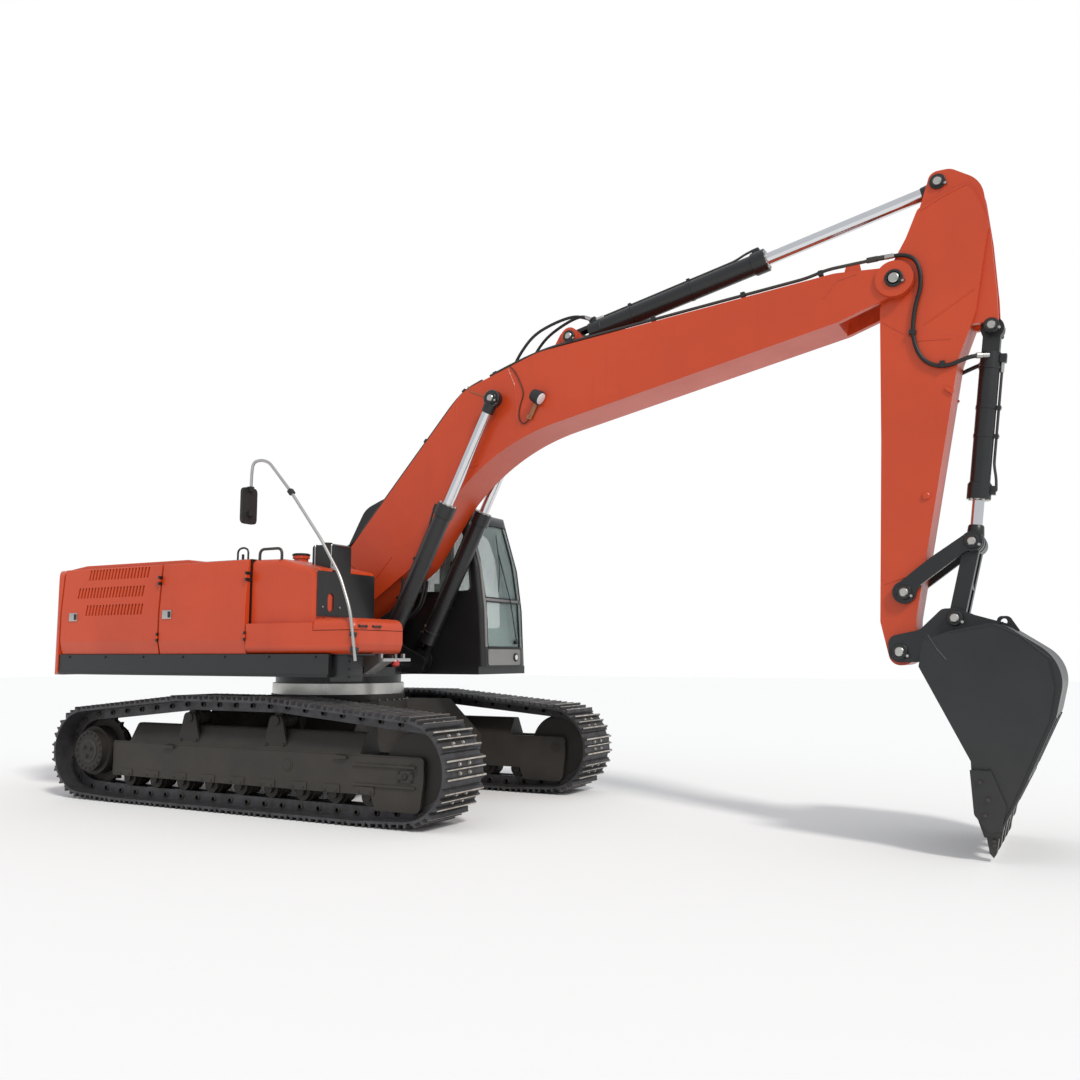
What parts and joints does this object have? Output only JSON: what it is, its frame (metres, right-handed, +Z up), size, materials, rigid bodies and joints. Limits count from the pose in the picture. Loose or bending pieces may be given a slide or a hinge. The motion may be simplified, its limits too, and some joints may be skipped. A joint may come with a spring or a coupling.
{
  "type": "excavator",
  "caption": "Crawler excavator: tracked undercarriage, slewing upper structure with cab and counterweight, and a jointed boom, arm and bucket worked by cylinders",
  "frame": {"origin": "on the ground under the centre of the slewing ring", "axes": "+X forward along the boom, +Y to the machine's left, +Z up"},
  "size_m": [10.1368, 3.2, 5.3952],
  "materials": {
    "orange_paint": "gloss",
    "black_paint": "satin",
    "dark_frame": "satin",
    "bare_steel": "worn",
    "cast": "matte",
    "chrome_rod": "polished",
    "clear_glass": "clear",
    "trim_plastic": "matte",
    "seat_fabric": "woven"
  },
  "bodies": {
    "undercarriage": {"carbody": "dark_frame", "side_frames": "dark_frame", "slewing_ring": "bare_steel", "sprockets": "cast", "idlers": "cast", "lower_rollers": "cast", "carrier_rollers": "cast", "track_left": "bare_steel", "track_right": "bare_steel"},
    "house": {"revolving_frame": "black_paint", "counterweight": "orange_paint", "engine": "cast", "body_frame": "black_paint", "side_skirts": "black_paint", "fuel_tank": "orange_paint", "tank_guard": "black_paint", "tool_box": "orange_paint", "cab_shell": "black_paint", "cab_glass": "clear_glass", "seat": "seat_fabric", "controls": "trim_plastic"},
    "engine_hood": {"engine_hood": "orange_paint"},
    "door_right_rear": {"door_right_rear": "orange_paint"},
    "door_right_front": {"door_right_front": "orange_paint"},
    "door_left_rear": {"door_left_rear": "orange_paint"},
    "door_left_front": {"door_left_front": "orange_paint"},
    "tool_box_lid": {"tool_box_lid": "orange_paint"},
    "cab_door": {"cab_door": "black_paint", "door_glass": "clear_glass"},
    "boom": {"boom": "orange_paint", "boom_pins": "bare_steel"},
    "arm": {"arm": "orange_paint", "arm_pins": "bare_steel"},
    "bucket": {"bucket": "black_paint", "bucket_teeth": "cast"},
    "boom_barrel_right": {"boom_cylinder_right_barrel": "black_paint"},
    "boom_rod_right": {"boom_cylinder_right_rod": "chrome_rod"},
    "boom_barrel_left": {"boom_cylinder_left_barrel": "black_paint"},
    "boom_rod_left": {"boom_cylinder_left_rod": "chrome_rod"},
    "arm_barrel": {"arm_cylinder_barrel": "black_paint"},
    "arm_rod": {"arm_cylinder_rod": "chrome_rod"},
    "bucket_barrel": {"bucket_cylinder_barrel": "black_paint"},
    "bucket_rod": {"bucket_cylinder_rod": "chrome_rod"},
    "rockers": {"rockers": "black_paint"},
    "bucket_link": {"bucket_link": "black_paint"}
  },
  "joints": [
    {"name": "swing", "type": "hinge", "parent": "undercarriage", "child": "house", "pos_m": [0, 0, 1.17], "axis": [0, 0, 1], "continuous": true},
    {"name": "boom_lift", "type": "hinge", "parent": "house", "child": "boom", "pos_m": [0.22, 0, 2.07], "axis": [0, -1, 0], "range_deg": [-70, 36]},
    {"name": "arm_crowd", "type": "hinge", "parent": "boom", "child": "arm", "pos_m": [5.878, 0, 4.503], "axis": [0, 1, 0], "range_deg": [-82, 39]},
    {"name": "bucket_curl", "type": "hinge", "parent": "arm", "child": "bucket", "pos_m": [5.806, 0, 1.481], "axis": [0, 1, 0], "range_deg": [-20, 150]},
    {"name": "boom_barrel_right_tilt", "type": "hinge", "parent": "house", "child": "boom_barrel_right", "pos_m": [0.82, -0.335, 1.42], "axis": [0, -1, 0], "range_deg": [-68.75, 35.38]},
    {"name": "boom_rod_right_slide", "type": "slide", "parent": "boom_barrel_right", "child": "boom_rod_right", "axis": [0.4571, 0, 0.8894], "range_m": [-0.95542, 0.49184]},
    {"name": "boom_barrel_left_tilt", "type": "hinge", "parent": "house", "child": "boom_barrel_left", "pos_m": [0.82, 0.335, 1.42], "axis": [0, -1, 0], "range_deg": [-68.75, 35.38]},
    {"name": "boom_rod_left_slide", "type": "slide", "parent": "boom_barrel_left", "child": "boom_rod_left", "axis": [0.4571, 0, 0.8894], "range_m": [-0.95542, 0.49184]},
    {"name": "arm_barrel_tilt", "type": "hinge", "parent": "boom", "child": "arm_barrel", "pos_m": [2.84, 0, 4.52], "axis": [0, 1, 0], "range_deg": [-5.86, 2.81]},
    {"name": "arm_rod_slide", "type": "slide", "parent": "arm_barrel", "child": "arm_rod", "axis": [0.9745, 0, 0.2244], "range_m": [-1.05606, 0.5028]},
    {"name": "rocker_tilt", "type": "hinge", "parent": "arm", "child": "rockers", "pos_m": [5.853, 0, 1.947], "axis": [0, 1, 0], "range_deg": [-14.83, 110.89]},
    {"name": "bucket_link_tilt", "type": "hinge", "parent": "rockers", "child": "bucket_link", "pos_m": [6.366, 0, 2.326], "axis": [0, 1, 0], "range_deg": [-72.23, 9.67]},
    {"name": "bucket_barrel_tilt", "type": "hinge", "parent": "arm", "child": "bucket_barrel", "pos_m": [6.576, 0, 4.036], "axis": [0, 1, 0], "range_deg": [-0.142, 0.74]},
    {"name": "bucket_rod_slide", "type": "slide", "parent": "bucket_barrel", "child": "bucket_rod", "axis": [-0.1219, 0, -0.9925], "range_m": [-0.14251, 1.06233]},
    {"name": "engine_hood_lift", "type": "hinge", "parent": "house", "child": "engine_hood", "pos_m": [-0.734, 0, 2.386], "axis": [0, 1, 0], "range_deg": [0, 70]},
    {"name": "door_right_rear_swing", "type": "hinge", "parent": "house", "child": "door_right_rear", "pos_m": [-1.11, -1.491, 1.9], "axis": [0, 0, 1], "range_deg": [0, 100]},
    {"name": "door_right_front_swing", "type": "hinge", "parent": "house", "child": "door_right_front", "pos_m": [0.075, -1.491, 1.9], "axis": [0, 0, 1], "range_deg": [0, 100]},
    {"name": "door_left_rear_swing", "type": "hinge", "parent": "house", "child": "door_left_rear", "pos_m": [-1.5, 1.491, 1.9], "axis": [0, 0, -1], "range_deg": [0, 100]},
    {"name": "door_left_front_swing", "type": "hinge", "parent": "house", "child": "door_left_front", "pos_m": [-0.45, 1.491, 1.9], "axis": [0, 0, -1], "range_deg": [0, 100]},
    {"name": "cab_door_swing", "type": "hinge", "parent": "house", "child": "cab_door", "pos_m": [0.383, 1.511, 2.2], "axis": [0, 0, 1], "range_deg": [0, 110]},
    {"name": "tool_box_lid_lift", "type": "hinge", "parent": "house", "child": "tool_box_lid", "pos_m": [0.893, -1.1, 1.794], "axis": [0, -1, 0], "range_deg": [0, 80]}
  ],
  "couplings": [
    {"joint": "boom_barrel_right_tilt", "follows": "boom_lift", "ratio": 0.9815},
    {"joint": "boom_rod_right_slide", "follows": "boom_lift", "m_per_rad": 0.7812},
    {"joint": "boom_barrel_left_tilt", "follows": "boom_lift", "ratio": 0.9815},
    {"joint": "boom_rod_left_slide", "follows": "boom_lift", "m_per_rad": 0.7812},
    {"joint": "arm_barrel_tilt", "follows": "arm_crowd", "ratio": 0.0708},
    {"joint": "arm_rod_slide", "follows": "arm_crowd", "m_per_rad": 0.7372},
    {"joint": "rocker_tilt", "follows": "bucket_curl", "ratio": 0.7389},
    {"joint": "bucket_link_tilt", "follows": "bucket_curl", "ratio": -0.4812},
    {"joint": "bucket_barrel_tilt", "follows": "bucket_curl", "ratio": 0.0046},
    {"joint": "bucket_rod_slide", "follows": "bucket_curl", "m_per_rad": 0.4054}
  ]
}
